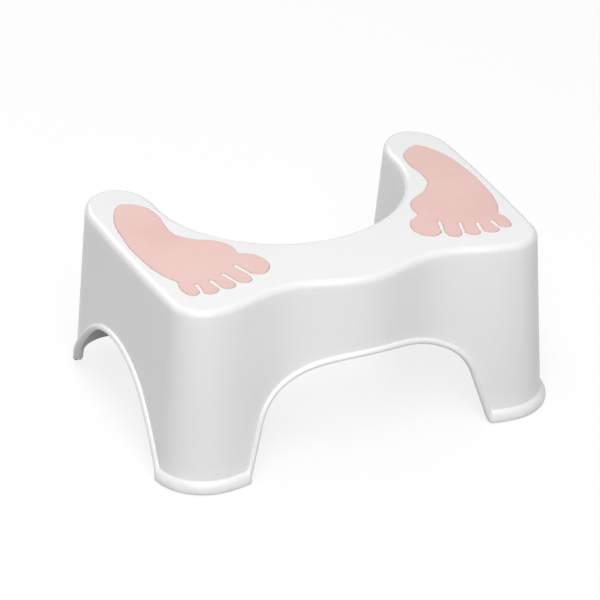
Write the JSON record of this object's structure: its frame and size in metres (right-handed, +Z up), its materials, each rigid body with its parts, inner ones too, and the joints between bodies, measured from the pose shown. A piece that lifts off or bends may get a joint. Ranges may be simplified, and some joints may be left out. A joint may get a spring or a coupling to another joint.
{
  "type": "toilet footstool",
  "caption": "Moulded plastic footstool with a half-round recess for a toilet's foot, a waved front, arched sides and two inset soft footprints.",
  "frame": {"origin": "on the floor, under the middle of the stool's bounding box", "axes": "+X to the right of someone facing the waved front, +Y to the recess at the back, +Z up"},
  "size_m": [0.3846, 0.2716, 0.1705],
  "materials": {
    "white_plastic": "satin, lightly textured",
    "pink_soft_touch": "matt soft touch",
    "grey_grip": "matt"
  },
  "bodies": {
    "root": {"stool_shell": "white_plastic", "left_footprint_pad": "pink_soft_touch", "right_footprint_pad": "pink_soft_touch", "front_left_grip_strip": "grey_grip", "front_right_grip_strip": "grey_grip", "rear_left_grip_strip": "grey_grip", "rear_right_grip_strip": "grey_grip"}
  },
  "joints": []
}
